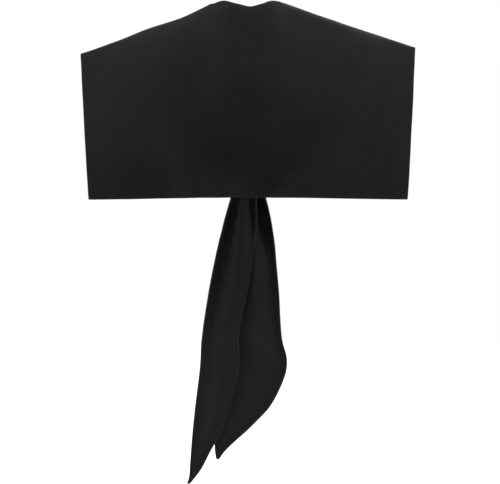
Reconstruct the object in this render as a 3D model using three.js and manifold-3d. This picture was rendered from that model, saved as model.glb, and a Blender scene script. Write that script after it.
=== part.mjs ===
// A sailor collar as it is worn: a square flap over the back and shoulders, two lapels that run down the
// chest into a knot, and the two free ends that hang from it. Millimetres, +Z up. The wearer faces +Y.
// The origin is the middle of the neck opening, level with the top of the collar's neck roll.
import * as THREE from "three";
import { mergeVertices } from "three/addons/utils/BufferGeometryUtils.js";
import Module from "manifold-3d";

const wasm = await Module();
wasm.setup();

// Outline of the collar
const shoulderSpan = 449; // between the two corners over the shoulders
const shoulderDrop = 68; // from the neck roll down to those corners
const hemSpan = 421; // between the two corners of the back hem
const hemDrop = 266; // from the neck roll down to the back hem
const hemArch = 3; // how far the hem rises between its corners
const neckSpan = 104; // between the two sides of the neck edge
const neckReach = 62; // from the shoulder ridge back to the neck edge
const veeDrop = 186; // from the neck roll down to where the lapels enter the knot

// Depth of the worn form, from the shoulder ridge
const backDepth = 108; // back to the middle of the flap
const backCornerDepth = 50; // back to the flap's side edges
const chestDepth = 112; // forward to the knot
const chestSideDepth = 62; // forward to the sides of the chest
const bodySquareness = 2.4; // 2 makes the worn form's plan a parabola, more makes it squarer

// Cloth
const collarWall = 2; // two cloths, sewn and turned
const tailWall = 1.5;
const bindingWall = 1.2;
const bindingClearance = 0.55; // between the lip and the binding folded round it
const pocketClearance = 0.4; // round each end that runs into the knot
const lipDepth = 9; // how far the neck edge turns down at the back
const lipRadius = 4; // of the turn
const lipAtKnot = 0.6; // share of both that is left at the knot
const bindingDepth = 7; // how far the binding covers the turned-down edge
const waveDepth = 9; // height of the flap's soft humps and hollows

// Knot and free ends
const knotWidth = 50;
const knotHeight = 38;
const knotDepth = 27;
const lapelEnd = 16; // width of each gathered lapel end
const lapelGap = 9; // between the two lapel ends
const gatherDepth = 2.2;
const gatherFolds = 1.5; // across a lapel end
const gatherReach = 0.34; // share of the lapel that the gathers run up
const gatherStart = 0.15; // share of the lapel's width that stays smooth along the neck edge
const entry = 9; // how far each end runs into the knot
const longTailDrop = 459; // below the knot's middle
const longTailWidth = 54;
const shortTailDrop = 427;
const shortTailWidth = 82;
const tailOffset = 6.5; // how far each free end leaves the knot behind or before its middle
const tailSpread = 4.5; // how much further apart they hang once they have opened out
const tailFold = 7; // depth of the soft folds in the free ends
const tailDrift = 1.1; // radians that the folds wander sideways on the way down
const tailPleats = 2; // across a free end at the knot
const tailFolds = 1.25; // across it once it has opened out
const pleatReach = 0.33; // share of the free end that the pleats run down
const longTailTurn = -0.2; // how far each free end turns from facing straight back, as rise over width
const shortTailTurn = 0.14;

// The shoulder line from behind, as shares of half of shoulderSpan and of shoulderDrop
const shoulderLine = [
  { across: -1.0, down: 1.06 },
  { across: -0.78, down: 0.78 },
  { across: -0.62, down: 0.56 },
  { across: -0.4, down: 0.33 },
  { across: -0.255, down: 0.12 },
  { across: -0.19, down: 0.03 },
  { across: -0.12, down: 0.065 },
  { across: -0.055, down: 0.115 },
  { across: 0.014, down: 0.17 },
  { across: 0.08, down: 0.12 },
  { across: 0.185, down: 0.015 },
  { across: 0.235, down: 0.06 },
  { across: 0.47, down: 0.33 },
  { across: 0.76, down: 0.64 },
  { across: 1.0, down: 0.925 },
];

// Soft humps and hollows of the flap: place and size as shares of half of hemSpan and of hemDrop,
// height as a share of waveDepth, positive where the cloth stands out
const backWaves = [
  { across: 0.06, down: 1.02, wide: 0.08, tall: 0.2, out: -0.9 },
  { across: 0.0, down: 0.46, wide: 0.5, tall: 0.15, out: 0.5 },
  { across: 0.02, down: 0.82, wide: 0.42, tall: 0.13, out: -0.5 },
  { across: -0.18, down: 0.8, wide: 0.12, tall: 0.08, out: -0.35 },
  { across: -0.24, down: 1.0, wide: 0.2, tall: 0.12, out: 0.5 },
  { across: 0.25, down: 0.87, wide: 0.09, tall: 0.06, out: -0.3 },
  { across: 0.3, down: 1.02, wide: 0.14, tall: 0.1, out: 0.4 },
  { across: 0.03, down: 0.215, wide: 0.12, tall: 0.05, out: -0.4 },
  { across: -0.37, down: 0.4, wide: 0.1, tall: 0.08, out: -0.3 },
  { across: 0.46, down: 0.66, wide: 0.1, tall: 0.09, out: -0.28 },
  { across: -0.5, down: 0.84, wide: 0.1, tall: 0.1, out: 0.3 },
  { across: -0.76, down: 0.93, wide: 0.13, tall: 0.1, out: -0.35 },
];

// How the cloth leaves the shoulder ridge: it starts level, bends within bend to slope degrees, and is
// upright from steepTo on
const backFall = { slope: 50, bend: 26, steepFrom: 40, steepTo: 190 };
const chestFall = { slope: 54, bend: 24, steepFrom: 90, steepTo: 300 };

const halfShoulder = shoulderSpan / 2;
const halfHem = hemSpan / 2;
const halfNeck = neckSpan / 2;

// Smooth curve through the rows of a table, from the column "from" to the column "to"
function along(table, from, to, value) {
  const slopeAt = (i) => {
    const before = table[Math.max(i - 1, 0)];
    const after = table[Math.min(i + 1, table.length - 1)];
    return (after[to] - before[to]) / (after[from] - before[from]);
  };
  let i = table.findIndex((row) => row[from] >= value) - 1;
  if (value > table[table.length - 1][from]) i = table.length - 2;
  i = Math.max(i, 0);
  const [a, b] = [table[i], table[i + 1]];
  const step = b[from] - a[from];
  const t = THREE.MathUtils.clamp((value - a[from]) / step, 0, 1);
  return (
    (1 + 2 * t) * (1 - t) ** 2 * a[to] +
    t * (1 - t) ** 2 * step * slopeAt(i) +
    t * t * (3 - 2 * t) * b[to] -
    t * t * (1 - t) * step * slopeAt(i + 1)
  );
}

// How far out and down the cloth is after a run from the shoulder ridge
const sectionSteps = 28;
function fallen(run, fall) {
  const slope = THREE.MathUtils.degToRad(fall.slope);
  const step = run / sectionSteps;
  let out = 0;
  let down = 0;
  for (let i = 0; i < sectionSteps; i++) {
    const d = (i + 0.5) * step;
    const steep = THREE.MathUtils.smoothstep(d, fall.steepFrom, fall.steepTo);
    const angle = slope * (1 - Math.exp(-d / fall.bend)) + (Math.PI / 2 - slope) * steep;
    out += Math.cos(angle) * step;
    down += Math.sin(angle) * step;
  }
  return { out, down };
}
const backOut = fallen(backFall.steepTo, backFall).out;
const chestOut = fallen(chestFall.steepTo, chestFall).out;

function depthAt(x, middle, side) {
  return side + (middle - side) * (1 - Math.min(Math.abs(x) / halfShoulder, 1) ** bodySquareness);
}

// The nearly level shelf behind the ridge that the neck roll stands on
const shelfShare = 0.8; // of the neck's half width
function shelfAt(x) {
  return neckReach * Math.exp(-((x / (halfNeck * shelfShare)) ** 4));
}

function waveAt(x, z) {
  return backWaves.reduce((sum, wave) => {
    const a = (x / halfHem - wave.across) / wave.wide;
    const b = (-z / hemDrop - wave.down) / wave.tall;
    return sum + wave.out * waveDepth * Math.exp(-(a * a + b * b) / 2);
  }, 0);
}

// A point of the worn cloth: x across, run along it from the shoulder ridge, negative down the back
function onBody(x, run) {
  const top = -shoulderDrop * along(shoulderLine, "across", "down", x / halfShoulder);
  if (run >= 0) {
    const { out, down } = fallen(run, chestFall);
    return new THREE.Vector3(x, (out * depthAt(x, chestDepth, chestSideDepth)) / chestOut, top - down);
  }
  const shelf = Math.min(shelfAt(x), -run);
  const { out, down } = fallen(-run - shelf, backFall);
  const rest = depthAt(x, backDepth, backCornerDepth) - shelfAt(x);
  const z = top - down;
  return new THREE.Vector3(x, -shelf - (out * rest) / backOut - waveAt(x, z), z);
}

// The run at which the cloth has come down to height z
const halvings = 30;
function runDownTo(x, z, side) {
  let [near, far] = [0, 2 * hemDrop];
  for (let i = 0; i < halvings; i++) {
    const middle = (near + far) / 2;
    if (onBody(x, side * middle).z > z) near = middle;
    else far = middle;
  }
  return side * near;
}

const mix = THREE.MathUtils.lerp;
const bend = (a, b, c, t) => (1 - t) ** 2 * a + 2 * t * (1 - t) * b + t * t * c;

// How the lapel's two edges bow between the knot and the shoulder: the middle handle of each curve as a share
// of half the neck, half the shoulders and the run to the knot
const innerBow = { across: 0.96, run: 0.32 };
const outerBow = { across: 0.62, run: 0.62, pace: 0.9 };

// Stations round the half collar, from the knot up the lapel, along the flap's side and to the middle of the
// hem. Each joins a point of the neck edge to a point of the outer edge.
const lapelColumns = 19;
const sideColumns = 10;
const hemColumns = 13;
const veeRun = runDownTo(lapelGap, -veeDrop, 1);

function lapelStation(t) {
  const u = t ** outerBow.pace;
  return {
    inner: {
      x: bend(lapelGap / 2, halfNeck * innerBow.across, halfNeck, t),
      run: bend(veeRun, veeRun * innerBow.run, 0, t),
    },
    outer: {
      x: bend(lapelGap / 2 + lapelEnd, halfShoulder * outerBow.across, halfShoulder, u),
      run: bend(veeRun, veeRun * outerBow.run, 0, u),
    },
    nearKnot: 1 - t,
  };
}

function neckPoint(t) {
  const angle = (t * Math.PI) / 2;
  return { x: halfNeck * Math.cos(angle), run: -neckReach * Math.sin(angle) };
}

const neckShareOfSide = 0.42; // of the quarter round the neck that the side's stations take
function sideStation(t, sign) {
  const x = mix(halfShoulder, halfHem, t);
  const corner = runDownTo(sign * halfHem, -hemDrop, -1);
  return { inner: neckPoint(t * neckShareOfSide), outer: { x, run: corner * t }, nearKnot: 0 };
}

function hemStation(t, sign) {
  const x = halfHem * (1 - t);
  const z = -hemDrop + hemArch * Math.sin((t * Math.PI) / 2) ** 2;
  return {
    inner: neckPoint(mix(neckShareOfSide, 1, t)),
    outer: { x, run: runDownTo(sign * x, z, -1) },
    nearKnot: 0,
  };
}

function halfStations(sign) {
  const list = [];
  for (let i = 0; i < lapelColumns; i++) list.push(lapelStation(i / lapelColumns));
  for (let i = 0; i < sideColumns; i++) list.push(sideStation(i / sideColumns, sign));
  for (let i = 0; i <= hemColumns; i++) list.push(hemStation(i / hemColumns, sign));
  const turned = ({ x, run }) => ({ x: sign * x, run });
  return list.map((s) => ({ ...s, inner: turned(s.inner), outer: turned(s.outer) }));
}

const stations = [...halfStations(-1), ...halfStations(1).reverse().slice(1)];

// The neck edge's own frame at each station: out along the cloth and up off the body. From the edge the cloth
// rolls inward until it hangs straight down as the lip.
const outwardStep = 0.05; // share of the way to the outer edge that gives the outward direction
const neckFrames = stations.map((station, i) => {
  const { inner, outer } = station;
  const before = stations[Math.max(i - 1, 0)].inner;
  const after = stations[Math.min(i + 1, stations.length - 1)].inner;
  const point = onBody(inner.x, inner.run);
  const tangent = onBody(after.x, after.run).sub(onBody(before.x, before.run)).normalize();
  const next = onBody(mix(inner.x, outer.x, outwardStep), mix(inner.run, outer.run, outwardStep));
  const toward = next.sub(point);
  const out = toward.addScaledVector(tangent, -toward.dot(tangent)).normalize();
  const up = new THREE.Vector3().crossVectors(out, tangent).normalize();
  const share = mix(1, lipAtKnot, station.nearKnot);
  const turn = Math.PI / 2 + Math.asin(-out.z);
  return { point, out, up, turn, radius: lipRadius * share, lip: lipDepth * share ** 2 };
});

function rollPoint({ point, out, up, turn, radius }, share) {
  const angle = turn * share;
  return point
    .clone()
    .addScaledVector(out, -radius * Math.sin(angle))
    .addScaledVector(up, -radius * (1 - Math.cos(angle)));
}

function lipEdge(frame) {
  const { out, up, turn, lip } = frame;
  return rollPoint(frame, 1)
    .addScaledVector(out, -lip * Math.cos(turn))
    .addScaledVector(up, -lip * Math.sin(turn));
}

const rollRows = 3;
const clothRows = 12;
function clothPoint({ inner, outer, nearKnot }, v) {
  const point = onBody(mix(inner.x, outer.x, v), mix(inner.run, outer.run, v));
  const rise = THREE.MathUtils.smoothstep(nearKnot, 1 - gatherReach, 1 - gatherReach / 3);
  const pressed = THREE.MathUtils.smoothstep(nearKnot, 1 - gatherReach / 3, 1);
  const fold = Math.sin(2 * Math.PI * gatherFolds * v) * THREE.MathUtils.smoothstep(v, 0, gatherStart);
  point.y += gatherDepth * rise * (1 - pressed) * fold;
  return point;
}

function collarPoints() {
  const points = [neckFrames.map(lipEdge)];
  for (let i = rollRows; i > 0; i--) points.push(neckFrames.map((frame) => rollPoint(frame, i / rollRows)));
  for (let i = 0; i <= clothRows; i++) {
    const v = i / clothRows;
    points.push(stations.map((station) => clothPoint(station, v)));
  }
  return points;
}

// Closed surface from corner points and triangles
function geometryOf(vertices, triangles) {
  const flat = vertices.flatMap((v) => [v.x, v.y, v.z]);
  return new THREE.BufferGeometry()
    .setAttribute("position", new THREE.Float32BufferAttribute(flat, 3))
    .setIndex(triangles.flat());
}

// Normals of a grid of points, along (down the rows) x (along a row)
function normalsOf(points) {
  const clampTo = (i, list) => list[THREE.MathUtils.clamp(i, 0, list.length - 1)];
  const at = (r, c) => clampTo(c, clampTo(r, points));
  return points.map((row, r) =>
    row.map((_, c) => {
      const down = at(r + 1, c).clone().sub(at(r - 1, c));
      const across = at(r, c + 1).clone().sub(at(r, c - 1));
      return down.cross(across).normalize();
    }),
  );
}

// A wall of even thickness round a grid of points
function wallGeometry(points, wall) {
  const rows = points.length;
  const columns = points[0].length;
  const normals = normalsOf(points);
  const sides = [wall / 2, -wall / 2].map((offset) =>
    points.flatMap((row, r) => row.map((point, c) => point.clone().addScaledVector(normals[r][c], offset))),
  );
  const lower = rows * columns;
  const triangles = [];
  const quad = (a, b, c, d) => triangles.push([a, b, c], [a, c, d]);
  for (let r = 0; r < rows - 1; r++) {
    for (let c = 0; c < columns - 1; c++) {
      const [a, b] = [r * columns + c, (r + 1) * columns + c];
      quad(a, b, b + 1, a + 1);
      quad(lower + a, lower + a + 1, lower + b + 1, lower + b);
    }
  }
  const rim = (a, b) => quad(a, b, lower + b, lower + a);
  for (let c = 0; c < columns - 1; c++) {
    rim(c, c + 1);
    rim((rows - 1) * columns + c + 1, (rows - 1) * columns + c);
  }
  for (let r = 0; r < rows - 1; r++) {
    rim((r + 1) * columns, r * columns);
    rim(r * columns + columns - 1, (r + 1) * columns + columns - 1);
  }
  return geometryOf(sides.flat(), triangles);
}

// A closed body through rings with the same even number of points, counter-clockwise seen from the last ring.
// Each end is closed by a strip that pairs the points from both ends of the ring.
function ringGeometry(rings) {
  const count = rings[0].length;
  const top = (rings.length - 1) * count;
  const triangles = [];
  const quad = (p, q, r, s) => triangles.push([p, q, r], [p, r, s]);
  for (let i = 0; i < count; i++) {
    const j = (i + 1) % count;
    for (let low = 0; low < top; low += count) quad(low + i, low + j, low + count + j, low + count + i);
  }
  for (let i = 0; i < count / 2 - 1; i++) {
    const [far, farther] = [count - 2 - i, count - 1 - i];
    quad(farther, far, i + 1, i);
    quad(top + i, top + i + 1, top + far, top + farther);
  }
  return geometryOf(rings.flat(), triangles);
}

// Solids for cutting
function solidOf(geometry) {
  const bare = new THREE.BufferGeometry()
    .setAttribute("position", geometry.getAttribute("position"))
    .setIndex(geometry.index);
  const merged = mergeVertices(bare);
  return new wasm.Manifold(
    new wasm.Mesh({
      numProp: 3,
      vertProperties: new Float32Array(merged.attributes.position.array),
      triVerts: new Uint32Array(merged.index.array),
    }),
  );
}

function geometryOfSolid(solid) {
  const mesh = solid.getMesh();
  return new THREE.BufferGeometry()
    .setAttribute("position", new THREE.Float32BufferAttribute(mesh.vertProperties, 3))
    .setIndex(new THREE.BufferAttribute(mesh.triVerts, 1));
}

// Binding: a strip folded round the edge of the lip, from one end of the lip to the other
const bindingSkips = 4; // stations at each end that the knot leaves no room for
const bindingCover = 0.65; // most of the lip that it may cover
const collarGrid = collarPoints();
const [edgeNormals, topNormals] = normalsOf(collarGrid);

function bindingRing(c) {
  const [edge, top] = [collarGrid[0][c], collarGrid[1][c]];
  const lip = edge.distanceTo(top);
  const upper = Math.min(bindingDepth, lip * bindingCover);
  const inside = collarWall / 2 + bindingClearance;
  const outside = inside + bindingWall;
  const section = [
    [inside, upper],
    [inside, -bindingClearance],
    [-inside, -bindingClearance],
    [-inside, upper],
    [-outside, upper],
    [-outside, -bindingClearance - bindingWall],
    [outside, -bindingClearance - bindingWall],
    [outside, upper],
  ];
  return section.map(([offset, height]) => {
    const normal = edgeNormals[c].clone().lerp(topNormals[c], height / lip);
    return edge.clone().lerp(top, height / lip).addScaledVector(normal, offset);
  });
}

const bindingStations = stations.map((_, c) => c).slice(bindingSkips, -bindingSkips);
const bindingGeometry = ringGeometry(bindingStations.map(bindingRing));

// Knot
const knotMiddle = onBody(0, veeRun);
knotMiddle.z = -veeDrop - knotHeight / 2 + entry;
const knotRings = [
  { up: 0.5, wide: 0.5, deep: 0.42 },
  { up: 0.42, wide: 0.78, deep: 0.74 },
  { up: 0.28, wide: 0.96, deep: 0.95 },
  { up: 0.1, wide: 1.0, deep: 1.0 },
  { up: -0.1, wide: 0.94, deep: 0.98 },
  { up: -0.28, wide: 0.86, deep: 0.92 },
  { up: -0.42, wide: 0.74, deep: 0.76 },
  { up: -0.5, wide: 0.56, deep: 0.5 },
];
const knotSides = 28;
const knotLobes = 5;
const knotTwist = 2.2;
const knotCrease = 0.05;
const knotSquareness = 0.8; // 1 makes the rings ellipses, less makes them squarer

function knotRing({ up, wide, deep }) {
  return Array.from({ length: knotSides }, (_, i) => {
    const angle = (2 * Math.PI * i) / knotSides;
    const crease = 1 + knotCrease * Math.cos(knotLobes * angle + knotTwist * Math.PI * up);
    const round = (value) => Math.sign(value) * Math.abs(value) ** knotSquareness;
    return new THREE.Vector3(
      (knotWidth / 2) * wide * round(Math.cos(angle)) * crease,
      (knotDepth / 2) * deep * round(Math.sin(angle)) * crease,
      knotHeight * up,
    ).add(knotMiddle);
  });
}

// Free ends: rows from the knot down, with the edges' places as shares of the end's width, its sideways
// drift as seen from behind, and how deep and how many its folds are
const longTailRows = [
  { down: 0.0, left: -0.2, right: 0.18, fold: 0.3 },
  { down: 0.06, left: -0.28, right: 0.2, fold: 0.45 },
  { down: 0.2, left: -0.62, right: 0.2, fold: 0.8 },
  { down: 0.38, left: -0.95, right: 0.02, fold: 1.0 },
  { down: 0.55, left: -1.17, right: -0.25, fold: 0.9 },
  { down: 0.64, left: -1.22, right: -0.23, fold: 0.8 },
  { down: 0.72, left: -1.3, right: -0.39, fold: 0.7 },
  { down: 0.77, left: -1.35, right: -0.49, fold: 0.6 },
  { down: 0.85, left: -1.42, right: -0.74, fold: 0.45 },
  { down: 0.9, left: -1.45, right: -0.97, fold: 0.35 },
  { down: 0.95, left: -1.48, right: -1.18, fold: 0.2 },
  { down: 0.98, left: -1.5, right: -1.36, fold: 0.1 },
  { down: 1.0, left: -1.56, right: -1.5, fold: 0.1 },
];
const shortTailRows = [
  { down: 0.0, left: -0.12, right: 0.14, fold: 0.3 },
  { down: 0.06, left: -0.13, right: 0.2, fold: 0.45 },
  { down: 0.2, left: -0.13, right: 0.38, fold: 0.8 },
  { down: 0.4, left: -0.18, right: 0.5, fold: 1.0 },
  { down: 0.6, left: -0.27, right: 0.57, fold: 1.0 },
  { down: 0.66, left: -0.29, right: 0.65, fold: 0.9 },
  { down: 0.7, left: -0.3, right: 0.65, fold: 0.85 },
  { down: 0.73, left: -0.34, right: 0.61, fold: 0.8 },
  { down: 0.78, left: -0.4, right: 0.5, fold: 0.65 },
  { down: 0.83, left: -0.46, right: 0.35, fold: 0.55 },
  { down: 0.87, left: -0.5, right: 0.16, fold: 0.45 },
  { down: 0.91, left: -0.535, right: -0.05, fold: 0.35 },
  { down: 0.95, left: -0.56, right: -0.28, fold: 0.2 },
  { down: 0.98, left: -0.55, right: -0.43, fold: 0.1 },
  { down: 1.0, left: -0.53, right: -0.5, fold: 0.1 },
];
const tailColumns = 12;
const tailLevels = 34;

function tailPoints(rows, drop, width, side, turn) {
  const top = knotMiddle.z - knotHeight / 2 + entry;
  const bottom = knotMiddle.z - drop;
  return Array.from({ length: tailLevels + 1 }, (_, r) => {
    const down = r / tailLevels;
    const left = along(rows, "down", "left", down) * width;
    const right = along(rows, "down", "right", down) * width;
    const depth = along(rows, "down", "fold", down) * tailFold;
    const turns = mix(tailPleats, tailFolds, Math.min(down / pleatReach, 1));
    const opened = THREE.MathUtils.smoothstep(down, 0, pleatReach);
    const away = side * (tailOffset + tailSpread * opened);
    return Array.from({ length: tailColumns + 1 }, (_, c) => {
      const v = c / tailColumns;
      const fold = depth * Math.sin(2 * Math.PI * turns * v + side + tailDrift * down);
      const y = knotMiddle.y + away + turn * opened * (v - 0.5) * (right - left) + fold;
      return new THREE.Vector3(knotMiddle.x + mix(left, right, v), y, mix(top, bottom, down));
    });
  });
}

// The same wall, larger all round by the clearance, to cut its own room out of the knot
function roomFor(points, wall) {
  const [rows, columns] = [points.length, points[0].length];
  const wider = points.map((row) => row.map((point) => point.clone()));
  const push = (r, c, inR, inC) => {
    wider[r][c].add(points[r][c].clone().sub(points[inR][inC]).setLength(pocketClearance));
  };
  for (let r = 0; r < rows; r++) {
    push(r, 0, r, 1);
    push(r, columns - 1, r, columns - 2);
  }
  for (let c = 0; c < columns; c++) {
    push(0, c, 1, c);
    push(rows - 1, c, rows - 2, c);
  }
  return solidOf(wallGeometry(wider, wall + 2 * pocketClearance));
}

const longTailGrid = tailPoints(longTailRows, longTailDrop, longTailWidth, -1, longTailTurn);
const shortTailGrid = tailPoints(shortTailRows, shortTailDrop, shortTailWidth, 1, shortTailTurn);

const knotSolid = solidOf(ringGeometry([...knotRings].reverse().map(knotRing)))
  .subtract(roomFor(collarGrid, collarWall))
  .subtract(roomFor(longTailGrid, tailWall))
  .subtract(roomFor(shortTailGrid, tailWall))
  .decompose()
  .reduce((largest, body) => (body.volume() > largest.volume() ? body : largest));

const black = new THREE.MeshStandardMaterial({ color: 0x1f1f1f, roughness: 0.72, metalness: 0 });
const blackBinding = new THREE.MeshStandardMaterial({ color: 0x1a1a1a, roughness: 0.8, metalness: 0 });

function piece(name, geometry, material) {
  const mesh = new THREE.Mesh(geometry, material);
  mesh.name = name;
  return mesh;
}

const collar = new THREE.Group();
collar.add(
  piece("collar", wallGeometry(collarGrid, collarWall), black),
  piece("neck_binding", bindingGeometry, blackBinding),
  piece("knot", geometryOfSolid(knotSolid), black),
  piece("long_tail", wallGeometry(longTailGrid, tailWall), black),
  piece("short_tail", wallGeometry(shortTailGrid, tailWall), black),
);

export default collar;
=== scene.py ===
# Sailor collar as it is worn: a square flap over the back, two lapels that run down the chest into a
# knot, and the two free ends that hang from it. Metres, +Z up. The wearer faces +Y.
import math

import bpy
from mathutils import Matrix, Vector, noise


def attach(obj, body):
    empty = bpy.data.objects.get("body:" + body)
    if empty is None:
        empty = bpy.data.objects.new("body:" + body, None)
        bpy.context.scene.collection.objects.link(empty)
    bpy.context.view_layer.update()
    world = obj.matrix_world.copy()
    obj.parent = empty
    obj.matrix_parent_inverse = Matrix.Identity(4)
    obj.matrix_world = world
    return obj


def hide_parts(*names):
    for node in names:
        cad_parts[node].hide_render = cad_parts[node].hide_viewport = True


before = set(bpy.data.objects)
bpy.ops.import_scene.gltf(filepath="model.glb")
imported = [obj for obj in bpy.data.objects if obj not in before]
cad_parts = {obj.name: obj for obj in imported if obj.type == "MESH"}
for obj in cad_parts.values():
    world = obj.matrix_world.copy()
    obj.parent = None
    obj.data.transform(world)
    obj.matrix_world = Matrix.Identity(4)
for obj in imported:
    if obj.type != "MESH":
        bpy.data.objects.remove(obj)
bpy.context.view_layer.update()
print("frame loaded:", ", ".join(sorted(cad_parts)))


# Small tools that every piece uses

def mix(a, b, share):
    return a + (b - a) * share


def smoothStep(value, low, high):
    share = min(max((value - low) / (high - low), 0.0), 1.0)
    return share * share * (3 - 2 * share)


def bend(a, b, c, share):  # a curve from a to c with its handle at b
    return (1 - share) ** 2 * a + 2 * share * (1 - share) * b + share * share * c


def along(rows, value):
    slopes = []
    for i in range(len(rows)):
        before, after = rows[max(i - 1, 0)], rows[min(i + 1, len(rows) - 1)]
        slopes.append((after[1] - before[1]) / (after[0] - before[0]))
    i = 0
    while i < len(rows) - 2 and value > rows[i + 1][0]:
        i += 1
    (x0, y0), (x1, y1) = rows[i], rows[i + 1]
    step = x1 - x0
    t = min(max((value - x0) / step, 0.0), 1.0)
    rise = (1 + 2 * t) * (1 - t) ** 2 * y0 + t * t * (3 - 2 * t) * y1
    return rise + t * (1 - t) ** 2 * step * slopes[i] - t * t * (1 - t) * step * slopes[i + 1]


def pickOnly(piece):
    bpy.ops.object.select_all(action="DESELECT")
    piece.select_set(True)
    bpy.context.view_layer.objects.active = piece


def applyAll(piece):
    pickOnly(piece)
    for modifier in list(piece.modifiers):
        bpy.ops.object.modifier_apply(modifier=modifier.name)


def finishPiece(piece, material, slotName, *nodes):
    pickOnly(piece)
    bpy.ops.object.shade_smooth()
    piece.data.materials.clear()
    piece.data.materials.append(material)
    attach(piece, "root")
    if nodes:
        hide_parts(*nodes)


# Camera, floor and light

cameraView = {
    "place": (0.0027, -3.6, -0.3228),
    "lens": 192.7,
    "sensor": 36,
    "clipEnd": 100,
}

studio = {
    "floorHeight": -0.8,
    "floorRadius": 9.0,
    "floorSides": 96,
    "floorColour": (0.9, 0.9, 0.9, 1),
    "floorGlow": 0.9,
    "skyAbove": 0.42,
    "skyBelow": 0.17,
    "skyBlend": (-0.6, 0.8),  # heights between which one turns into the other
    "backdrop": 1.0,
}

# place, aim, width, height, power, spread in degrees
softLights = {
    "topLight": ((0.0, -0.5, 1.9), (0.0, 0.0, -0.15), 1.6, 1.0, 9, 180),
    "leftLight": ((-2.3, -0.35, 0.1), (-0.15, 0.0, -0.15), 0.8, 1.4, 16.5, 180),
    "rightLight": ((2.3, -0.35, 0.15), (0.15, 0.0, -0.15), 0.8, 1.4, 17.5, 180),
    "tailLight": ((-0.7, -2.2, -0.95), (-0.03, 0.1, -0.56), 0.5, 0.35, 0.9, 20),
    "endLight": ((0.55, -2.2, -1.0), (0.03, 0.1, -0.62), 0.5, 0.35, 0.08, 15),
    "chestLight": ((0.5, 2.4, 0.7), (0.0, 0.1, -0.3), 1.2, 1.2, 26, 180),
}


def makeCamera():
    bpy.ops.object.camera_add(location=cameraView["place"], rotation=(math.radians(90), 0, 0))
    camera = bpy.context.object
    camera.name = "photoCamera"
    camera.data.lens = cameraView["lens"]
    camera.data.sensor_width = cameraView["sensor"]
    camera.data.clip_end = cameraView["clipEnd"]
    bpy.context.scene.camera = camera


def makeFloor():
    bpy.ops.object.select_all(action="DESELECT")
    bpy.ops.mesh.primitive_circle_add(
        vertices=studio["floorSides"],
        radius=studio["floorRadius"],
        fill_type="NGON",
        location=(0, 0, studio["floorHeight"]),
    )
    floor = bpy.context.object
    floor.name = "floor"
    material = bpy.data.materials.new("paleFloor")
    material.use_nodes = True
    shader = material.node_tree.nodes["Principled BSDF"]
    shader.inputs["Base Color"].default_value = studio["floorColour"]
    shader.inputs["Roughness"].default_value = 1.0
    shader.inputs["Specular IOR Level"].default_value = 0.0
    shader.inputs["Emission Color"].default_value = (1, 1, 1, 1)
    shader.inputs["Emission Strength"].default_value = studio["floorGlow"]
    floor.data.materials.append(material)
    floor.visible_diffuse = False  # the pale floor doesn't fill the cloth's shaded side
    floor.visible_glossy = False


def makeSky():
    world = bpy.data.worlds.new("studioRoom")
    bpy.context.scene.world = world
    world.use_nodes = True
    nodes, links = world.node_tree.nodes, world.node_tree.links
    nodes.clear()
    coords = nodes.new("ShaderNodeTexCoord")
    split = nodes.new("ShaderNodeSeparateXYZ")
    height = nodes.new("ShaderNodeMapRange")
    height.interpolation_type = "SMOOTHSTEP"
    height.inputs["From Min"].default_value = studio["skyBlend"][0]
    height.inputs["From Max"].default_value = studio["skyBlend"][1]
    height.inputs["To Min"].default_value = studio["skyBelow"]
    height.inputs["To Max"].default_value = studio["skyAbove"]
    room = nodes.new("ShaderNodeBackground")
    paper = nodes.new("ShaderNodeBackground")
    paper.inputs["Strength"].default_value = studio["backdrop"]
    for background in (room, paper):
        background.inputs["Color"].default_value = (1, 1, 1, 1)
    path = nodes.new("ShaderNodeLightPath")
    choose = nodes.new("ShaderNodeMixShader")
    output = nodes.new("ShaderNodeOutputWorld")
    links.new(coords.outputs["Generated"], split.inputs[0])
    links.new(split.outputs["Z"], height.inputs["Value"])
    links.new(height.outputs["Result"], room.inputs["Strength"])
    links.new(path.outputs["Is Camera Ray"], choose.inputs["Fac"])
    links.new(room.outputs[0], choose.inputs[1])
    links.new(paper.outputs[0], choose.inputs[2])
    links.new(choose.outputs[0], output.inputs["Surface"])


def makeLight(name, place, aim, width, height, power, spread):
    bpy.ops.object.light_add(type="AREA", location=place)
    light = bpy.context.object
    light.name = name
    light.data.shape = "RECTANGLE"
    light.data.size = width
    light.data.size_y = height
    light.data.energy = power
    light.data.spread = math.radians(spread)
    light.rotation_euler = (Vector(aim) - Vector(place)).to_track_quat("-Z", "Y").to_euler()


makeCamera()
makeFloor()
makeSky()
for lightName, lightValues in softLights.items():
    makeLight(lightName, *lightValues)
bpy.context.scene.view_settings.view_transform = "Standard"
print("camera, floor and", len(softLights), "soft lights placed")


# Cloth finishes. The pattern runs on each piece's own map, which is in metres along the cloth.

weave = {
    "waleShare": 0.32,
    "threadTurns": 2.0,  # threads for each wale
    "threadShare": 0.16,
    "middle": 0.5,
}

mottling = {
    "patches": 18.0,
    "patchDetail": 3.0,
    "patchRoughness": 0.55,
    "slubs": 260.0,
    "slubDetail": 2.0,
    "slubStretch": (1.0, 0.18, 1.0),
}


def newGroup(name, inputs, outputs):
    group = bpy.data.node_groups.new(name, "ShaderNodeTree")
    for socketName, kind, value in inputs:
        socket = group.interface.new_socket(socketName, in_out="INPUT", socket_type=kind)
        if value is not None:
            socket.default_value = value
    for socketName in outputs:
        group.interface.new_socket(socketName, in_out="OUTPUT", socket_type="NodeSocketFloat")
    return group, group.nodes.new("NodeGroupInput"), group.nodes.new("NodeGroupOutput")


def mathNode(tree, operation, *values):
    node = tree.nodes.new("ShaderNodeMath")
    node.operation = operation
    for socket, value in zip(node.inputs, values):
        if isinstance(value, bpy.types.NodeSocket):
            tree.links.new(value, socket)
        else:
            socket.default_value = value
    return node.outputs[0]


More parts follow.
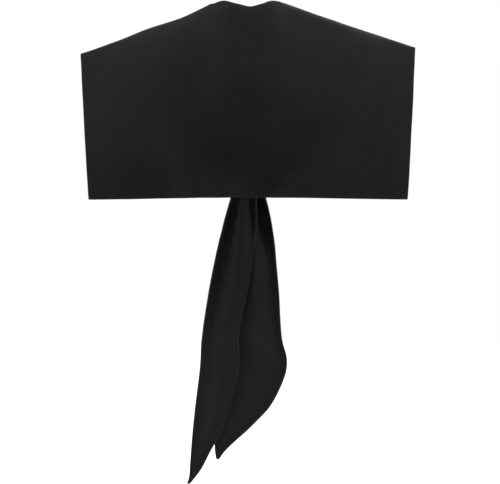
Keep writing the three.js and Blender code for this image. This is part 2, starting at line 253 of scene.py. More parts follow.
def makeTwillGroup():
    group, given, result = newGroup(
        "twillWeave",
        [("Vector", "NodeSocketVector", None), ("Pitch", "NodeSocketFloat", 0.0007)],
        ["Height"],
    )
    split = group.nodes.new("ShaderNodeSeparateXYZ")
    group.links.new(given.outputs["Vector"], split.inputs[0])
    turns = mathNode(group, "DIVIDE", 2 * math.pi, given.outputs["Pitch"])
    across = mathNode(group, "MULTIPLY", split.outputs["X"], turns)
    down = mathNode(group, "MULTIPLY", split.outputs["Y"], turns)
    wales = mathNode(group, "SINE", mathNode(group, "ADD", across, down))
    crossing = mathNode(group, "SUBTRACT", across, down)
    threads = mathNode(group, "SINE", mathNode(group, "MULTIPLY", crossing, weave["threadTurns"]))
    high = mathNode(group, "MULTIPLY", wales, weave["waleShare"])
    low = mathNode(group, "MULTIPLY", threads, weave["threadShare"])
    both = mathNode(group, "ADD", high, low)
    group.links.new(mathNode(group, "ADD", both, weave["middle"]), result.inputs["Height"])
    return group


def makeMottleGroup():
    group, given, result = newGroup(
        "clothMottle",
        [
            ("Vector", "NodeSocketVector", None),
            ("Patches", "NodeSocketFloat", mottling["patches"]),
            ("Slubs", "NodeSocketFloat", mottling["slubs"]),
        ],
        ["Shade", "Slub"],
    )
    patches = group.nodes.new("ShaderNodeTexNoise")
    patches.inputs["Detail"].default_value = mottling["patchDetail"]
    patches.inputs["Roughness"].default_value = mottling["patchRoughness"]
    slubs = group.nodes.new("ShaderNodeTexNoise")
    slubs.inputs["Detail"].default_value = mottling["slubDetail"]
    stretch = group.nodes.new("ShaderNodeMapping")
    stretch.inputs["Scale"].default_value = mottling["slubStretch"]
    group.links.new(given.outputs["Vector"], patches.inputs["Vector"])
    group.links.new(given.outputs["Patches"], patches.inputs["Scale"])
    group.links.new(given.outputs["Vector"], stretch.inputs["Vector"])
    group.links.new(stretch.outputs["Vector"], slubs.inputs["Vector"])
    group.links.new(given.outputs["Slubs"], slubs.inputs["Scale"])
    group.links.new(patches.outputs["Fac"], result.inputs["Shade"])
    group.links.new(slubs.outputs["Fac"], result.inputs["Slub"])
    return group


twillGroup = makeTwillGroup()
mottleGroup = makeMottleGroup()


def makeCloth(name, values):
    material = bpy.data.materials.new(name)
    material.use_nodes = True
    tree = material.node_tree
    nodes, links = tree.nodes, tree.links
    shader = nodes["Principled BSDF"]
    shader.inputs["Specular IOR Level"].default_value = values["shine"]
    shader.inputs["Sheen Weight"].default_value = values["sheen"]
    shader.inputs["Sheen Roughness"].default_value = values["sheenRoughness"]
    shader.inputs["Sheen Tint"].default_value = values["sheenTint"]
    place = nodes.new("ShaderNodeUVMap")
    place.uv_map = "cloth"
    twill = nodes.new("ShaderNodeGroup")
    twill.node_tree = twillGroup
    twill.inputs["Pitch"].default_value = values["pitch"]
    mottle = nodes.new("ShaderNodeGroup")
    mottle.node_tree = mottleGroup
    for group in (twill, mottle):
        links.new(place.outputs["UV"], group.inputs["Vector"])
    # painted highlight: the colour is made lighter within about two millimetres of each turned outer edge,
    # standing in for the light that the rolled edges catch
    edge = nodes.new("ShaderNodeAttribute")
    edge.attribute_name = "edge"
    edgeHighlight = nodes.new("ShaderNodeMapRange")
    edgeHighlight.interpolation_type = "SMOOTHSTEP"
    edgeHighlight.inputs["From Min"].default_value = values["edgeHighlightReach"]
    edgeHighlight.inputs["From Max"].default_value = 0.0
    edgeHighlight.inputs["To Max"].default_value = values["edgeHighlightShare"]
    links.new(edge.outputs["Fac"], edgeHighlight.inputs["Value"])
    shade = mathNode(tree, "MULTIPLY", mottle.outputs["Shade"], values["patchShare"])
    # painted shade: the weave's height also sets the colour, lighter on the thread tops and darker in the
    # grooves between them
    thread = mathNode(tree, "MULTIPLY", twill.outputs["Height"], values["threadShare"])
    slub = mathNode(tree, "MULTIPLY", mottle.outputs["Slub"], values["slubShare"])
    total = mathNode(tree, "ADD", mathNode(tree, "ADD", shade, thread), slub)
    total = mathNode(tree, "ADD", total, edgeHighlight.outputs["Result"])
    colour = nodes.new("ShaderNodeMix")
    colour.data_type = "RGBA"
    colour.clamp_factor = False
    colour.inputs["A"].default_value = values["dark"]
    colour.inputs["B"].default_value = values["light"]
    links.new(total, colour.inputs["Factor"])
    links.new(colour.outputs["Result"], shader.inputs["Base Color"])
    rough = nodes.new("ShaderNodeMapRange")
    rough.inputs["To Min"].default_value = values["rough"][0]
    rough.inputs["To Max"].default_value = values["rough"][1]
    links.new(total, rough.inputs["Value"])
    links.new(rough.outputs["Result"], shader.inputs["Roughness"])
    bump = nodes.new("ShaderNodeBump")
    bump.inputs["Strength"].default_value = values["bump"]
    bump.inputs["Distance"].default_value = values["bumpDepth"]
    links.new(mathNode(tree, "ADD", twill.outputs["Height"], slub), bump.inputs["Height"])
    links.new(bump.outputs["Normal"], shader.inputs["Normal"])
    return material


blackTwill = {
    "dark": (0.0107, 0.0107, 0.011, 1),
    "light": (0.0284, 0.0284, 0.0289, 1),
    "shine": 0.1,
    "sheen": 0.02,
    "sheenRoughness": 0.45,
    "sheenTint": (0.9, 0.92, 1.0, 1),
    "pitch": 0.001,
    "patchShare": 0.3,
    # how strongly the painted shade in the weave's grooves darkens the colour
    "threadShare": 0.8,
    "slubShare": 0.3,
    "edgeHighlightReach": 0.0022,  # how far in from the turned edge the painted highlight reaches
    "edgeHighlightShare": 1.0,
    "rough": (0.62, 0.8),
    "bump": 0.6,
    "bumpDepth": 0.0002,
}
bindingTwill = {
    **blackTwill,
    "dark": (0.0086, 0.0086, 0.0089, 1),
    "light": (0.023, 0.023, 0.0235, 1),
    "pitch": 0.0007,
}

clothFinish = makeCloth("blackTwill", blackTwill)
bindingFinish = makeCloth("bindingTwill", bindingTwill)
print("finishes made")


# The worn form that the collar lies on

wornForm = {
    "shoulderSpan": 0.449,
    "shoulderDrop": 0.068,
    "neckSpan": 0.104,
    "neckReach": 0.062,
    "shelfShare": 0.8,
    "backDepth": 0.108,
    "backSideDepth": 0.05,
    "chestDepth": 0.112,
    "chestSideDepth": 0.062,
    "squareness": 2.4,
    "backFall": {"slope": 50, "bend": 0.026, "steepFrom": 0.04, "steepTo": 0.19},
    "chestFall": {"slope": 54, "bend": 0.024, "steepFrom": 0.09, "steepTo": 0.3},
    "fallStep": 0.001,
    "longestFall": 0.6,
    "longestRun": 0.55,
    "halvings": 30,
    # height of the shoulder line, as shares of half the span across and of the drop down
    "shoulderLine": [
        (-1.0, 1.06), (-0.78, 0.78), (-0.62, 0.56), (-0.4, 0.33), (-0.255, 0.12),
        (-0.19, 0.03), (-0.12, 0.065), (-0.055, 0.115), (0.014, 0.17), (0.08, 0.12),
        (0.185, 0.015), (0.235, 0.06), (0.47, 0.33), (0.76, 0.64), (1.0, 0.925),
    ],
}

flap = {
    "hemSpan": 0.421,
    "hemDrop": 0.266,
    "hemArch": 0.0018,
    "waveDepth": 0.009,
    "wavesFrom": 0.05,  # they begin below the shoulder ridge
    # soft humps and hollows: across, down, wide, tall, turn in radians, out as a share of waveDepth. Across
    # and wide are shares of half the hem, down and tall are shares of the drop.
    "waves": [
        (-0.24, 0.31, 0.12, 0.18, 0.26, -1.45),
        (-0.76, 1.08, 0.13, 0.33, 1.3, -1.45),
        (0.11, 0.99, 0.08, 0.05, -0.2, -1.27),
        (-0.32, 0.99, 0.3, 0.05, 1.18, 1.2),
        (0.25, 0.87, 0.1, 0.05, -0.79, -1.14),
        (-0.26, 0.38, 0.52, 0.17, 0.8, 1.05),
        (1.0, 0.8, 0.11, 0.13, 0.11, 0.92),
        (0.15, 0.28, 0.24, 0.07, 0.7, -0.85),
        (-0.06, 0.86, 0.13, 0.06, 0.38, -0.85),
        (0.7, 0.33, 0.47, 0.06, -0.98, 0.85),
        (0.31, 0.85, 0.13, 0.18, -0.03, 0.85),
        (-1.0, 0.72, 0.4, 0.08, 0.36, 0.81),
        (0.38, 0.22, 0.38, 0.09, 0.74, -0.67),
        (0.34, 0.73, 0.1, 0.06, -0.25, -0.54),
        (-0.02, 0.02, 0.16, 0.05, 0.18, -0.44),
        (-0.39, 0.59, 0.07, 0.07, 0.74, 0.27),
    ],
}

halfShoulder = wornForm["shoulderSpan"] / 2
halfNeck = wornForm["neckSpan"] / 2
halfHem = flap["hemSpan"] / 2


def fallTable(fall):  # how far out and down the cloth is after each step of its run
    slope = math.radians(fall["slope"])
    step = wornForm["fallStep"]
    rows = [(0.0, 0.0)]
    for i in range(round(wornForm["longestFall"] / step)):
        run = (i + 0.5) * step
        steep = smoothStep(run, fall["steepFrom"], fall["steepTo"])
        angle = slope * (1 - math.exp(-run / fall["bend"])) + (math.pi / 2 - slope) * steep
        out, down = rows[-1]
        rows.append((out + math.cos(angle) * step, down + math.sin(angle) * step))
    return rows


backTable = fallTable(wornForm["backFall"])
chestTable = fallTable(wornForm["chestFall"])


def fallen(run, table):
    place = run / wornForm["fallStep"]
    i = min(int(place), len(table) - 2)
    (outA, downA), (outB, downB) = table[i], table[i + 1]
    return mix(outA, outB, place - i), mix(downA, downB, place - i)


backOut = fallen(wornForm["backFall"]["steepTo"], backTable)[0]
chestOut = fallen(wornForm["chestFall"]["steepTo"], chestTable)[0]


def depthAt(x, middle, side):
    return side + (middle - side) * (1 - min(abs(x) / halfShoulder, 1) ** wornForm["squareness"])


def shelfAt(x):  # the nearly level shelf that the neck roll stands on
    return wornForm["neckReach"] * math.exp(-((x / (halfNeck * wornForm["shelfShare"])) ** 4))


def waveAt(x, z):
    total = 0
    for across, down, wide, tall, turn, out in flap["waves"]:
        right, low = x - across * halfHem, -z - down * flap["hemDrop"]
        a = (right * math.cos(turn) + low * math.sin(turn)) / (wide * halfHem)
        b = (low * math.cos(turn) - right * math.sin(turn)) / (tall * flap["hemDrop"])
        total += out * flap["waveDepth"] * math.exp(-(a * a + b * b) / 2)
    return total


def onBody(x, run):  # run along the cloth from the shoulder ridge, negative down the back
    top = -wornForm["shoulderDrop"] * along(wornForm["shoulderLine"], x / halfShoulder)
    if run >= 0:
        out, down = fallen(run, chestTable)
        depth = depthAt(x, wornForm["chestDepth"], wornForm["chestSideDepth"])
        return Vector((x, out * depth / chestOut, top - down))
    shelf = min(shelfAt(x), -run)
    out, down = fallen(-run - shelf, backTable)
    rest = depthAt(x, wornForm["backDepth"], wornForm["backSideDepth"]) - shelfAt(x)
    z = top - down
    wave = waveAt(x, z) * smoothStep(-run, 0, flap["wavesFrom"])
    return Vector((x, -shelf - out * rest / backOut - wave, z))


def runDownTo(x, z, side):  # the run at which the cloth has come down to height z
    near, far = 0.0, wornForm["longestRun"]
    for _ in range(wornForm["halvings"]):
        middle = (near + far) / 2
        if onBody(x, side * middle).z > z:
            near = middle
        else:
            far = middle
    return side * near


# The collar's cloth: lines from the neck edge to the outer edge, from the knot up one lapel, round the
# flap and down the other lapel

collar = {
    "veeDrop": 0.186,
    "lapelEnd": 0.016,
    "lapelGap": 0.009,
    "innerBow": (0.96, 0.32),
    "outerBow": (0.62, 0.62),
    "outerPace": 0.9,
    "neckShareOfSide": 0.42,
    "sidePull": 0.9,  # how much closer the side's lines stand near its two corners
    "lapelColumns": 46,
    "sideColumns": 22,
    "hemColumns": 34,
    "cornerPull": 1.45,
    "lipRows": 3,
    "rollRows": 6,
    "clothRows": 30,
    "edgeRows": (0.0115, 0.0095, 0.0075, 0.0055, 0.004, 0.0028, 0.0017, 0.0008, 0.0),
    "edgeShare": 0.35,
    "edgeOut": 0.0007,
    "lipDepth": 0.009,
    "lipRadius": 0.004,
    "lipAtKnot": 0.6,
    "gatherFolds": 2.5,
    "gatherDepth": 0.0024,
    "gatherReach": 0.42,
    "gatherPressed": 0.75,
    "gatherStart": 0.12,
    "wall": 0.002,
    "allowance": 0.008,
    "allowanceWall": 0.0024,
    "rollWidth": 0.0026,
    "turnedWall": 0.0031,
    "edgeWall": 0.0022,
    "flat": (0.50, 0.62),
    "flatArea": 0.174,
}

veeRun = runDownTo(collar["lapelGap"], -collar["veeDrop"], 1)


def lapelStation(share):
    outerShare = share ** collar["outerPace"]
    innerAcross, innerRun = collar["innerBow"]
    outerAcross, outerRun = collar["outerBow"]
    inner = (
        bend(collar["lapelGap"] / 2, halfNeck * innerAcross, halfNeck, share),
        bend(veeRun, veeRun * innerRun, 0, share),
    )
    outerStart = collar["lapelGap"] / 2 + collar["lapelEnd"]
    outer = (
        bend(outerStart, halfShoulder * outerAcross, halfShoulder, outerShare),
        bend(veeRun, veeRun * outerRun, 0, outerShare),
    )
    return inner, outer, 1 - share


def neckPoint(share):
    angle = share * math.pi / 2
    return halfNeck * math.cos(angle), -wornForm["neckReach"] * math.sin(angle)


def sideStation(share, sign):
    corner = runDownTo(sign * halfHem, -flap["hemDrop"], -1)
    outer = (mix(halfShoulder, halfHem, share), corner * share)
    return neckPoint(share * collar["neckShareOfSide"]), outer, 0


def hemStation(share, sign):
    x = halfHem * (1 - share)
    z = -flap["hemDrop"] + flap["hemArch"] * math.sin(share * math.pi / 2) ** 2
    return neckPoint(mix(collar["neckShareOfSide"], 1, share)), (x, runDownTo(sign * x, z, -1)), 0


def halfStations(sign):  # close together at the flap's corners, which stay crisp
    lapel, side, hem = collar["lapelColumns"], collar["sideColumns"], collar["hemColumns"]
    tight = collar["cornerPull"]
    rows = [lapelStation(1 - (1 - i / lapel) ** tight) for i in range(lapel)]
    for i in range(side):
        rows.append(sideStation(mix(i / side, smoothStep(i / side, 0, 1), collar["sidePull"]), sign))
    rows += [hemStation((i / hem) ** tight, sign) for i in range(hem + 1)]
    return [((sign * a[0], a[1]), (sign * b[0], b[1]), near) for a, b, near in rows]


stations = halfStations(-1) + halfStations(1)[::-1][1:]


def neckFrame(i):  # the neck edge's own directions: out along the cloth and up off the body
    inner, outer, nearKnot = stations[i]
    before, after = stations[max(i - 1, 0)][0], stations[min(i + 1, len(stations) - 1)][0]
    point = onBody(*inner)
    tangent = (onBody(*after) - onBody(*before)).normalized()
    step = 0.05
    toward = onBody(mix(inner[0], outer[0], step), mix(inner[1], outer[1], step)) - point
    out = (toward - tangent * toward.dot(tangent)).normalized()
    share = mix(1, collar["lipAtKnot"], nearKnot)
    return {
        "point": point,
        "out": out,
        "up": out.cross(tangent).normalized(),
        "turn": math.pi / 2 + math.asin(-out.z),
        "radius": collar["lipRadius"] * share,
        "lip": collar["lipDepth"] * share ** 2,
    }


neckFrames = [neckFrame(i) for i in range(len(stations))]


def rollPoint(frameHere, share):
    angle = frameHere["turn"] * share
    inward = frameHere["out"] * frameHere["radius"] * math.sin(angle)
    return frameHere["point"] - inward - frameHere["up"] * frameHere["radius"] * (1 - math.cos(angle))


def lipPoint(frameHere, share):  # share 0 at the roll, 1 at the cut edge
    turn, length = frameHere["turn"], frameHere["lip"] * share
    downward = frameHere["out"] * math.cos(turn) + frameHere["up"] * math.sin(turn)
    return rollPoint(frameHere, 1) - downward * length


def clothPoint(station, v):
    inner, outer, nearKnot = station
    point = onBody(mix(inner[0], outer[0], v), mix(inner[1], outer[1], v))
    reach = collar["gatherReach"]
    rise = smoothStep(nearKnot, 1 - reach, 1 - reach / 3)
    pressed = smoothStep(nearKnot, 1 - reach / 4, 1) * collar["gatherPressed"]
    fold = math.sin(2 * math.pi * collar["gatherFolds"] * v) * smoothStep(v, 0, collar["gatherStart"])
    point.y += collar["gatherDepth"] * rise * (1 - pressed) * fold
    return point


def widthOf(station):
    inner, outer, _ = station
    return math.hypot(outer[0] - inner[0], outer[1] - inner[1])


def shareAtRow(station, row):  # evenly to near the outer edge, then by distance from it
    width = widthOf(station)
    last = min(collar["edgeRows"][0], width * collar["edgeShare"])
    scale = last / collar["edgeRows"][0]
    if row <= collar["clothRows"]:
        return (1 - (last - collar["edgeOut"]) / width) * row / collar["clothRows"]
    return 1 - (collar["edgeRows"][row - collar["clothRows"]] * scale - collar["edgeOut"]) / width


def collarRows():
    return collar["lipRows"] + collar["rollRows"] + collar["clothRows"] + len(collar["edgeRows"]) - 1


def collarPoint(c, r):  # the point, its place in the cloth and its distance from the outer edge
    station, here = stations[c], neckFrames[c]
    inner, outer, _ = station
    width = widthOf(station)
    flow = Vector((inner[0] - outer[0], inner[1] - outer[1])) / width
    if r < collar["lipRows"]:
        share = 1 - r / collar["lipRows"]
        extra = here["turn"] * here["radius"] + here["lip"] * share
        return lipPoint(here, share), Vector(inner) + flow * extra, width
    r -= collar["lipRows"]
    if r < collar["rollRows"]:
        share = 1 - r / collar["rollRows"]
        place = Vector(inner) + flow * here["turn"] * here["radius"] * share
        return rollPoint(here, share), place, width
    v = shareAtRow(station, r - collar["rollRows"])
    return clothPoint(station, v), Vector(inner).lerp(Vector(outer), v), (1 - v) * width


def gridSheet(name, columns, rows, pointAt):
    bpy.ops.object.select_all(action="DESELECT")
    bpy.ops.mesh.primitive_grid_add(x_subdivisions=columns, y_subdivisions=rows, size=1)
    piece = bpy.context.object
    piece.name = piece.data.name = name
    places, edges = [], []
    for vertex in piece.data.vertices:
        c = columns - round((vertex.co.x + 0.5) * columns)
        r = round((vertex.co.y + 0.5) * rows)
        vertex.co, place, edge = pointAt(c, r)
        places.append(place)
        edges.append(edge)
    cloth = piece.data.uv_layers[0]
    cloth.name = "cloth"
    for loop in piece.data.loops:
        cloth.data[loop.index].uv = places[loop.vertex_index]
    fromEdge = piece.data.attributes.new("edge", "FLOAT", "POINT")
    for spot, edge in zip(fromEdge.data, edges):
        spot.value = edge
    piece.data.update()
    return piece, places, edges


def ripple(piece, places, edges, values):
    moves = []
    for vertex, place, edge in zip(piece.data.vertices, places, edges):
        broad = noise.noise(Vector((place[0], place[1], values["seed"])) * values["broad"])
        fine = noise.noise(Vector((place[0], place[1], values["seed"])) * values["fine"])
        pucker = noise.noise(Vector((place[0], place[1], values["seed"] + 1)) * values["pucker"])
        near = math.exp(-edge / values["puckerReach"])
        out = broad * values["broadDepth"] + fine * values["fineDepth"]
        out += pucker * near * values["puckerDepth"]
        moves.append(vertex.normal * out)
    for vertex, move in zip(piece.data.vertices, moves):
        vertex.co += move
    piece.data.update()


# where the seam allowance and the turned roll begin and end, as shares of their widths
seam = {
    "allowanceFade": (1.25, 0.9),
    "rollFade": (1.6, 0.6),
    "rim": 0.4,
}


def thicken(piece, edges, values):  # a wall with the seam allowance felt along its turned edge
    wall, turned, thin = values["wall"], values["turnedWall"], values["edgeWall"]
    allowanceOut, allowanceIn = [values["allowance"] * share for share in seam["allowanceFade"]]
    rollOut, rollIn = [values["rollWidth"] * share for share in seam["rollFade"]]
    group = piece.vertex_groups.new(name="wall")
    for vertex, edge in zip(piece.data.vertices, edges):
        allowance = smoothStep(edge, allowanceOut, allowanceIn)
        roll = smoothStep(edge, rollOut, rollIn)
        here = mix(mix(wall, values["allowanceWall"], allowance), turned, roll)
        rim = smoothStep(edge, values["rollWidth"] * seam["rim"], 0.0)
        group.add([vertex.index], mix(here, thin, rim) / turned, "REPLACE")
    solid = piece.modifiers.new("wall", "SOLIDIFY")
    solid.thickness = turned
    solid.offset = 0
    solid.vertex_group = "wall"
    solid.thickness_vertex_group = 0
    smooth = piece.modifiers.new("smooth", "SUBSURF")
    smooth.levels = smooth.render_levels = 1
    applyAll(piece)


collarRipple = {
    "seed": 3.1,
    "broad": 16,
    "broadDepth": 0.0012,
    "fine": 42,
    "fineDepth": 0.0004,
    "pucker": 90,
    "puckerReach": 0.009,
    "puckerDepth": 0.0006,
}


def makeCollar():
    piece, places, edges = gridSheet("collar_cloth", len(stations) - 1, collarRows(), collarPoint)
    ripple(piece, places, edges, collarRipple)
    thicken(piece, edges, collar)
    finishPiece(piece, clothFinish, "cloth", "collar")
    print("collar_cloth:", len(piece.data.polygons), "faces")


makeCollar()


# Binding folded round the edge of the lip

binding = {
    "skip": 4 / 19,
    "clearance": 0.00055,
    "wall": 0.0012,
    "depth": 0.007,
    "cover": 0.65,
    "sideRows": 4,
    "foldRows": 6,
    "foldBulge": 0.7,
    "stitchPitch": 0.0032,
    "stitchLength": 0.0025,
    "stitchWidth": 0.00042,
    "stitchInset": 0.0014,
    "stitchLevel": 0.003,  # height on the lip at which its facing is read
    "flat": (0.62, 0.0175),
    "flatArea": 0.0075,
}

bindingSkips = round(binding["skip"] * collar["lapelColumns"])


def lipNormal(c, r):
    lipColumn = lambda i: collarPoint(min(max(i, 0), len(stations) - 1), r)[0]
    down = collarPoint(c, r + 1)[0] - collarPoint(c, max(r - 1, 0))[0]
    return down.cross(lipColumn(c + 1) - lipColumn(c - 1)).normalized()


lipSides = {}


def lipSide(c):
    if c not in lipSides:
        edge, top = collarPoint(c, 0)[0], collarPoint(c, collar["lipRows"])[0]
        lipSides[c] = edge, top, lipNormal(c, 0), lipNormal(c, collar["lipRows"])
    return lipSides[c]


def bindingSpot(c, offset, height):  # offset from the lip's middle, height up from its cut edge
    edge, top, edgeNormal, topNormal = lipSide(c)
    share = height / (top - edge).length
    return edge.lerp(top, share) + edgeNormal.lerp(topNormal, share) * offset


def bindingHeight(c):
    edge, top, _, _ = lipSide(c)
    return min(binding["depth"], (top - edge).length * binding["cover"])


def bindingPoint(c, r):
    c += bindingSkips
    upper = bindingHeight(c)
    low = -binding["clearance"]
    offset = collar["wall"] / 2 + binding["clearance"] + binding["wall"] / 2
    sideRows, foldRows = binding["sideRows"], binding["foldRows"]
    if r <= sideRows:
        height = mix(upper, low, r / sideRows)
        return bindingSpot(c, offset, height), Vector((neckRun[c], height)), upper
    if r < sideRows + foldRows:
        angle = math.pi * (r - sideRows) / foldRows
        bulge = binding["wall"] * binding["foldBulge"] * math.sin(angle)
        spot = bindingSpot(c, offset * math.cos(angle), low - bulge)
        return spot, Vector((neckRun[c], low - offset * angle)), upper
    height = mix(low, upper, (r - sideRows - foldRows) / sideRows)
    return bindingSpot(c, -offset, height), Vector((neckRun[c], low - offset * math.pi - height)), upper


neckRun = [0.0]
for i in range(1, len(stations)):
    neckRun.append(neckRun[-1] + (neckFrames[i]["point"] - neckFrames[i - 1]["point"]).length)


def makeBinding():
    columns = len(stations) - 1 - 2 * bindingSkips
    rows = 2 * binding["sideRows"] + binding["foldRows"]
    piece, places, edges = gridSheet("neck_binding_cloth", columns, rows, bindingPoint)
    solid = piece.modifiers.new("wall", "SOLIDIFY")
    solid.thickness = binding["wall"]
    solid.offset = 0
    smooth = piece.modifiers.new("smooth", "SUBSURF")
    smooth.levels = smooth.render_levels = 1
    applyAll(piece)
    finishPiece(piece, bindingFinish, "binding", "neck_binding")
    print("neck_binding_cloth:", len(piece.data.polygons), "faces")


makeBinding()


def makeStitches():
    bpy.ops.object.select_all(action="DESELECT")
    bpy.ops.mesh.primitive_uv_sphere_add(segments=8, ring_count=5, radius=0.5)
    stitch = bpy.context.object
    stitch.name = "binding_stitches"
    stitch.data.uv_layers[0].name = "cloth"
    copies = [stitch]
    first, last = bindingSkips, len(stations) - 1 - bindingSkips
    offset = collar["wall"] / 2 + binding["clearance"] + binding["wall"]
    count = int((neckRun[last] - neckRun[first]) / binding["stitchPitch"])
    spots = []
    for side in (1, -1):
        for k in range(1, count):
            wanted = neckRun[first] + k * binding["stitchPitch"]
            c = max(i for i in range(first, last) if neckRun[i] <= wanted)
            share = (wanted - neckRun[c]) / (neckRun[c + 1] - neckRun[c])
            inset, level = binding["stitchInset"], binding["stitchLevel"]
            start, end = [bindingSpot(i, side * offset, bindingHeight(i) - inset) for i in (c, c + 1)]
            outer, inner = [bindingSpot(c, side * offset * times, level) for times in (2, 1)]
            forward, normal = (end - start).normalized(), (outer - inner).normalized()
            spots.append((start.lerp(end, share), forward, normal))
    for i, (spot, forward, normal) in enumerate(spots):
        piece = stitch if i == 0 else stitch.copy()
        if i:
            piece.data = stitch.data.copy()
            bpy.context.collection.objects.link(piece)
            copies.append(piece)
        sideways = normal.cross(forward).normalized()
        turn = Matrix((forward, sideways, normal)).transposed().to_4x4()
        length, width = binding["stitchLength"], binding["stitchWidth"]
        piece.matrix_world = Matrix.Translation(spot) @ turn @ Matrix.Diagonal((length, width, width, 1))
    bpy.ops.object.select_all(action="DESELECT")
    for piece in copies:
        piece.select_set(True)
    bpy.context.view_layer.objects.active = stitch
    bpy.ops.object.join()
    bpy.ops.object.transform_apply(location=True, rotation=True, scale=True)
    finishPiece(stitch, bindingFinish, "binding")
    print("binding_stitches:", len(spots))


makeStitches()


# Free ends

knot = {
    "width": 0.05,
    "height": 0.038,
    "depth": 0.027,
    "entry": 0.009,
}
knotMiddle = onBody(0, veeRun)
knotMiddle.z = -collar["veeDrop"] - knot["height"] / 2 + knot["entry"]

tails = {
    "offset": 0.0065,
    "spread": 0.0045,
    "fold": 0.007,
    "drift": 1.1,
    "pleats": 2,
    "folds": 1.25,
    "pleatReach": 0.33,
    "columns": 26,
    "levels": 100,
    "edgeColumns": (0.0, 0.0007, 0.0015, 0.0026, 0.004, 0.0056, 0.0075, 0.0095),
    "edgeShare": 0.3,
    "edgeOut": 0.0006,
    "tipOut": 0.002,
    "wall": 0.0015,
    "allowance": 0.006,
    "allowanceWall": 0.0019,
    "rollWidth": 0.0022,
    "turnedWall": 0.0025,
    "edgeWall": 0.0018,
}

# rows: how far down, the left and right edges as shares of the width, and how deep the folds are
longTail = {
    "drop": 0.459,
    "width": 0.054,
    "side": -1,
    "turn": -0.07,
    "flat": (0.095, 0.462),
    "area": 0.0224,
    "rows": [
        (0.0, -0.2, 0.18, 0.3), (0.06, -0.28, 0.2, 0.45), (0.2, -0.62, 0.2, 0.8),
        (0.38, -0.95, 0.02, 0.7), (0.55, -1.17, -0.25, 0.38), (0.64, -1.22, -0.23, 0.3),
        (0.72, -1.3, -0.39, 0.26), (0.77, -1.35, -0.49, 0.22), (0.85, -1.42, -0.74, 0.18),
        (0.9, -1.45, -0.97, 0.14), (0.95, -1.48, -1.18, 0.1), (0.98, -1.5, -1.36, 0.06),
        (1.0, -1.56, -1.5, 0.05),
    ],
}
shortTail = {
    "drop": 0.427,
    "width": 0.082,
    "side": 1,
    "turn": 0.24,
    "flat": (0.108, 0.43),
    "area": 0.0248,
    "rows": [
        (0.0, -0.12, 0.14, 0.3), (0.06, -0.13, 0.2, 0.45), (0.2, -0.13, 0.38, 0.8),
        (0.4, -0.18, 0.5, 0.75), (0.6, -0.27, 0.57, 0.4), (0.66, -0.29, 0.65, 0.3),
        (0.7, -0.3, 0.65, 0.26), (0.73, -0.34, 0.61, 0.24), (0.78, -0.4, 0.5, 0.22),
        (0.83, -0.46, 0.35, 0.2), (0.87, -0.5, 0.16, 0.18),
        (0.91, -0.535, -0.05, 0.15), (0.95, -0.56, -0.28, 0.1), (0.98, -0.55, -0.43, 0.06),
        (1.0, -0.53, -0.5, 0.05),
    ],
}

tailRipple = {
    "seed": 8.4,
    "broad": 20,
    "broadDepth": 0.0012,
    "fine": 48,
    "fineDepth": 0.0003,
    "pucker": 90,
    "puckerReach": 0.007,
    "puckerDepth": 0.0005,
}


def tailColumns():
    return tails["columns"] + 2 * (len(tails["edgeColumns"]) - 1)


def tailDistance(c, width):  # distance from the left edge at column c, close together near both edges
    marks = tails["edgeColumns"]
    last = len(marks) - 1
    scale = min(marks[-1], width * tails["edgeShare"]) / marks[-1]
    if c <= last:
        return marks[c] * scale
    if c >= tailColumns() - last:
        return width - marks[tailColumns() - c] * scale
    return mix(marks[-1] * scale, width - marks[-1] * scale, (c - last) / tails["columns"])


def tailPointAt(tail):
    top = knotMiddle.z - knot["height"] / 2 + knot["entry"]
    bottom = knotMiddle.z - tail["drop"] - tails["tipOut"]
    leftEdge, rightEdge, foldDepth = [[(row[0], row[i]) for row in tail["rows"]] for i in (1, 2, 3)]

    def pointAt(c, r):
        c = tailColumns() - c
        down = r / tails["levels"]
        left = along(leftEdge, down) * tail["width"] - tails["edgeOut"]
        right = along(rightEdge, down) * tail["width"] + tails["edgeOut"]
        depth = along(foldDepth, down) * tails["fold"]
        turns = mix(tails["pleats"], tails["folds"], min(down / tails["pleatReach"], 1))
        opened = smoothStep(down, 0, tails["pleatReach"])
        away = tail["side"] * (tails["offset"] + tails["spread"] * opened)
        width = right - left
        distance = tailDistance(c, width)
        v = distance / width
        fold = depth * math.sin(2 * math.pi * turns * v + tail["side"] + tails["drift"] * down)
        y = knotMiddle.y + away + tail["turn"] * opened * (v - 0.5) * width + fold
        z = mix(top, bottom, down)
        x = knotMiddle.x + left + distance
        return Vector((x, y, z)), Vector((x, z)), min(distance, width - distance)

    return pointAt


def makeTail(name, node, tail):
    piece, places, edges = gridSheet(name, tailColumns(), tails["levels"], tailPointAt(tail))
    ripple(piece, places, edges, {**tailRipple, "seed": tailRipple["seed"] + tail["side"]})
    thicken(piece, edges, tails)
    finishPiece(piece, clothFinish, "cloth", node)
    print(name + ":", len(piece.data.polygons), "faces")


makeTail("long_tail_cloth", "long_tail", longTail)
makeTail("short_tail_cloth", "short_tail", shortTail)


# Knot: folds of cloth wound round a firm middle

knotFolds = {
    "core": (0.42, 0.36, 0.34),
    "voxel": 0.0007,
    "smoothing": 4,
    "steps": 36,
    "squareness": 0.9,
    "barrel": 0.24,
    "swell": 0.035,
    "endWidth": 0.9,
    "crossing": (0.1, 0.9),
    "tubeResolution": 3,
    "fill": 0.7,
}

# Each strand is a bundle of folds that runs over one face of the knot. Its angles and heights are those of
# its two ends. The folds stand apart by the first value in the middle and the second at the ends.
knotStrands = [
    {
        "angles": (200, -20), "heights": (0.0075, -0.0065), "depth": 1.0,
        "folds": 4, "apart": (0.0064, 0.003), "radius": 0.0048,
    },
    {
        "angles": (-35, 215), "heights": (0.0085, -0.0085), "depth": 0.84,
        "folds": 3, "apart": (0.0072, 0.004), "radius": 0.005,
    },
    {
        "angles": (20, -200), "heights": (-0.007, 0.0075), "depth": 0.97,
        "folds": 4, "apart": (0.0062, 0.0032), "radius": 0.0046,
    },
]


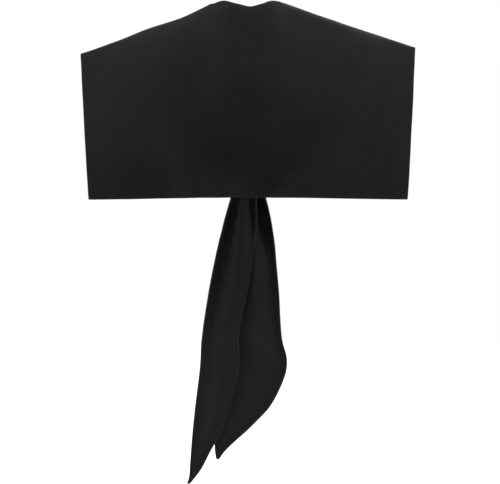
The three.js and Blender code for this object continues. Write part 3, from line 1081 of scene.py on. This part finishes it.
def makeTube(points, radius):
    curve = bpy.data.curves.new("foldPath", "CURVE")
    curve.dimensions = "3D"
    curve.bevel_depth = 1.0
    curve.bevel_resolution = knotFolds["tubeResolution"]
    curve.use_fill_caps = True
    spline = curve.splines.new("POLY")
    spline.points.add(len(points) - 1)
    for spot, point in zip(spline.points, points):
        spot.co = (*point, 1)
        spot.radius = radius
    tube = bpy.data.objects.new("foldPath", curve)
    bpy.context.collection.objects.link(tube)
    pickOnly(tube)
    bpy.ops.object.convert(target="MESH")
    return bpy.context.object


def squared(value):
    return math.copysign(abs(value) ** knotFolds["squareness"], value)


def strandPoints(strand, k):
    radius = strand["radius"]
    row = k - (strand["folds"] - 1) / 2
    halfWidth = knot["width"] / 2 - radius
    halfDepth = (knot["depth"] / 2 - radius) * strand["depth"]
    points = []
    for i in range(knotFolds["steps"] + 1):
        share = i / knotFolds["steps"]
        angle = math.radians(mix(*strand["angles"], share))
        full = math.sin(math.pi * share)
        apart = mix(strand["apart"][1], strand["apart"][0], full)
        swell = 1 - knotFolds["swell"] * row * row * full
        z = mix(*strand["heights"], smoothStep(share, *knotFolds["crossing"])) - row * apart
        drawn = 1 - knotFolds["barrel"] * (2 * z / knot["height"]) ** 2
        x = halfWidth * squared(math.cos(angle)) * mix(knotFolds["endWidth"], 1, full) * drawn
        y = halfDepth * squared(math.sin(angle)) * swell * drawn
        points.append(knotMiddle + Vector((x, y, z)))
    return points


def makeKnot():
    bpy.ops.object.select_all(action="DESELECT")
    bpy.ops.mesh.primitive_uv_sphere_add(segments=32, ring_count=20, radius=1, location=knotMiddle)
    core = bpy.context.object
    core.name = core.data.name = "knot_cloth"
    across, deep, high = knotFolds["core"]
    core.scale = (knot["width"] * across, knot["depth"] * deep, knot["height"] * high)
    bpy.ops.object.transform_apply(location=True, rotation=True, scale=True)
    folds = []
    for strand in knotStrands:
        for k in range(strand["folds"]):
            points = strandPoints(strand, k)
            folds.append(makeTube(points, strand["radius"]))
    bpy.ops.object.select_all(action="DESELECT")
    for fold in folds:
        fold.select_set(True)
    core.select_set(True)
    bpy.context.view_layer.objects.active = core
    bpy.ops.object.join()
    remesh = core.modifiers.new("remesh", "REMESH")
    remesh.mode = "VOXEL"
    remesh.voxel_size = knotFolds["voxel"]
    smooth = core.modifiers.new("smooth", "SMOOTH")
    smooth.iterations = knotFolds["smoothing"]
    applyAll(core)
    while core.data.uv_layers:
        core.data.uv_layers.remove(core.data.uv_layers[0])
    cloth = core.data.uv_layers.new(name="cloth")
    for loop in core.data.loops:
        spot = core.data.vertices[loop.vertex_index].co - knotMiddle
        cloth.data[loop.index].uv = (math.atan2(spot.y, spot.x) * knot["width"] / 2, spot.z)
    finishPiece(core, clothFinish, "cloth", "knot")
    print("knot_cloth:", len(core.data.polygons), "faces")


makeKnot()
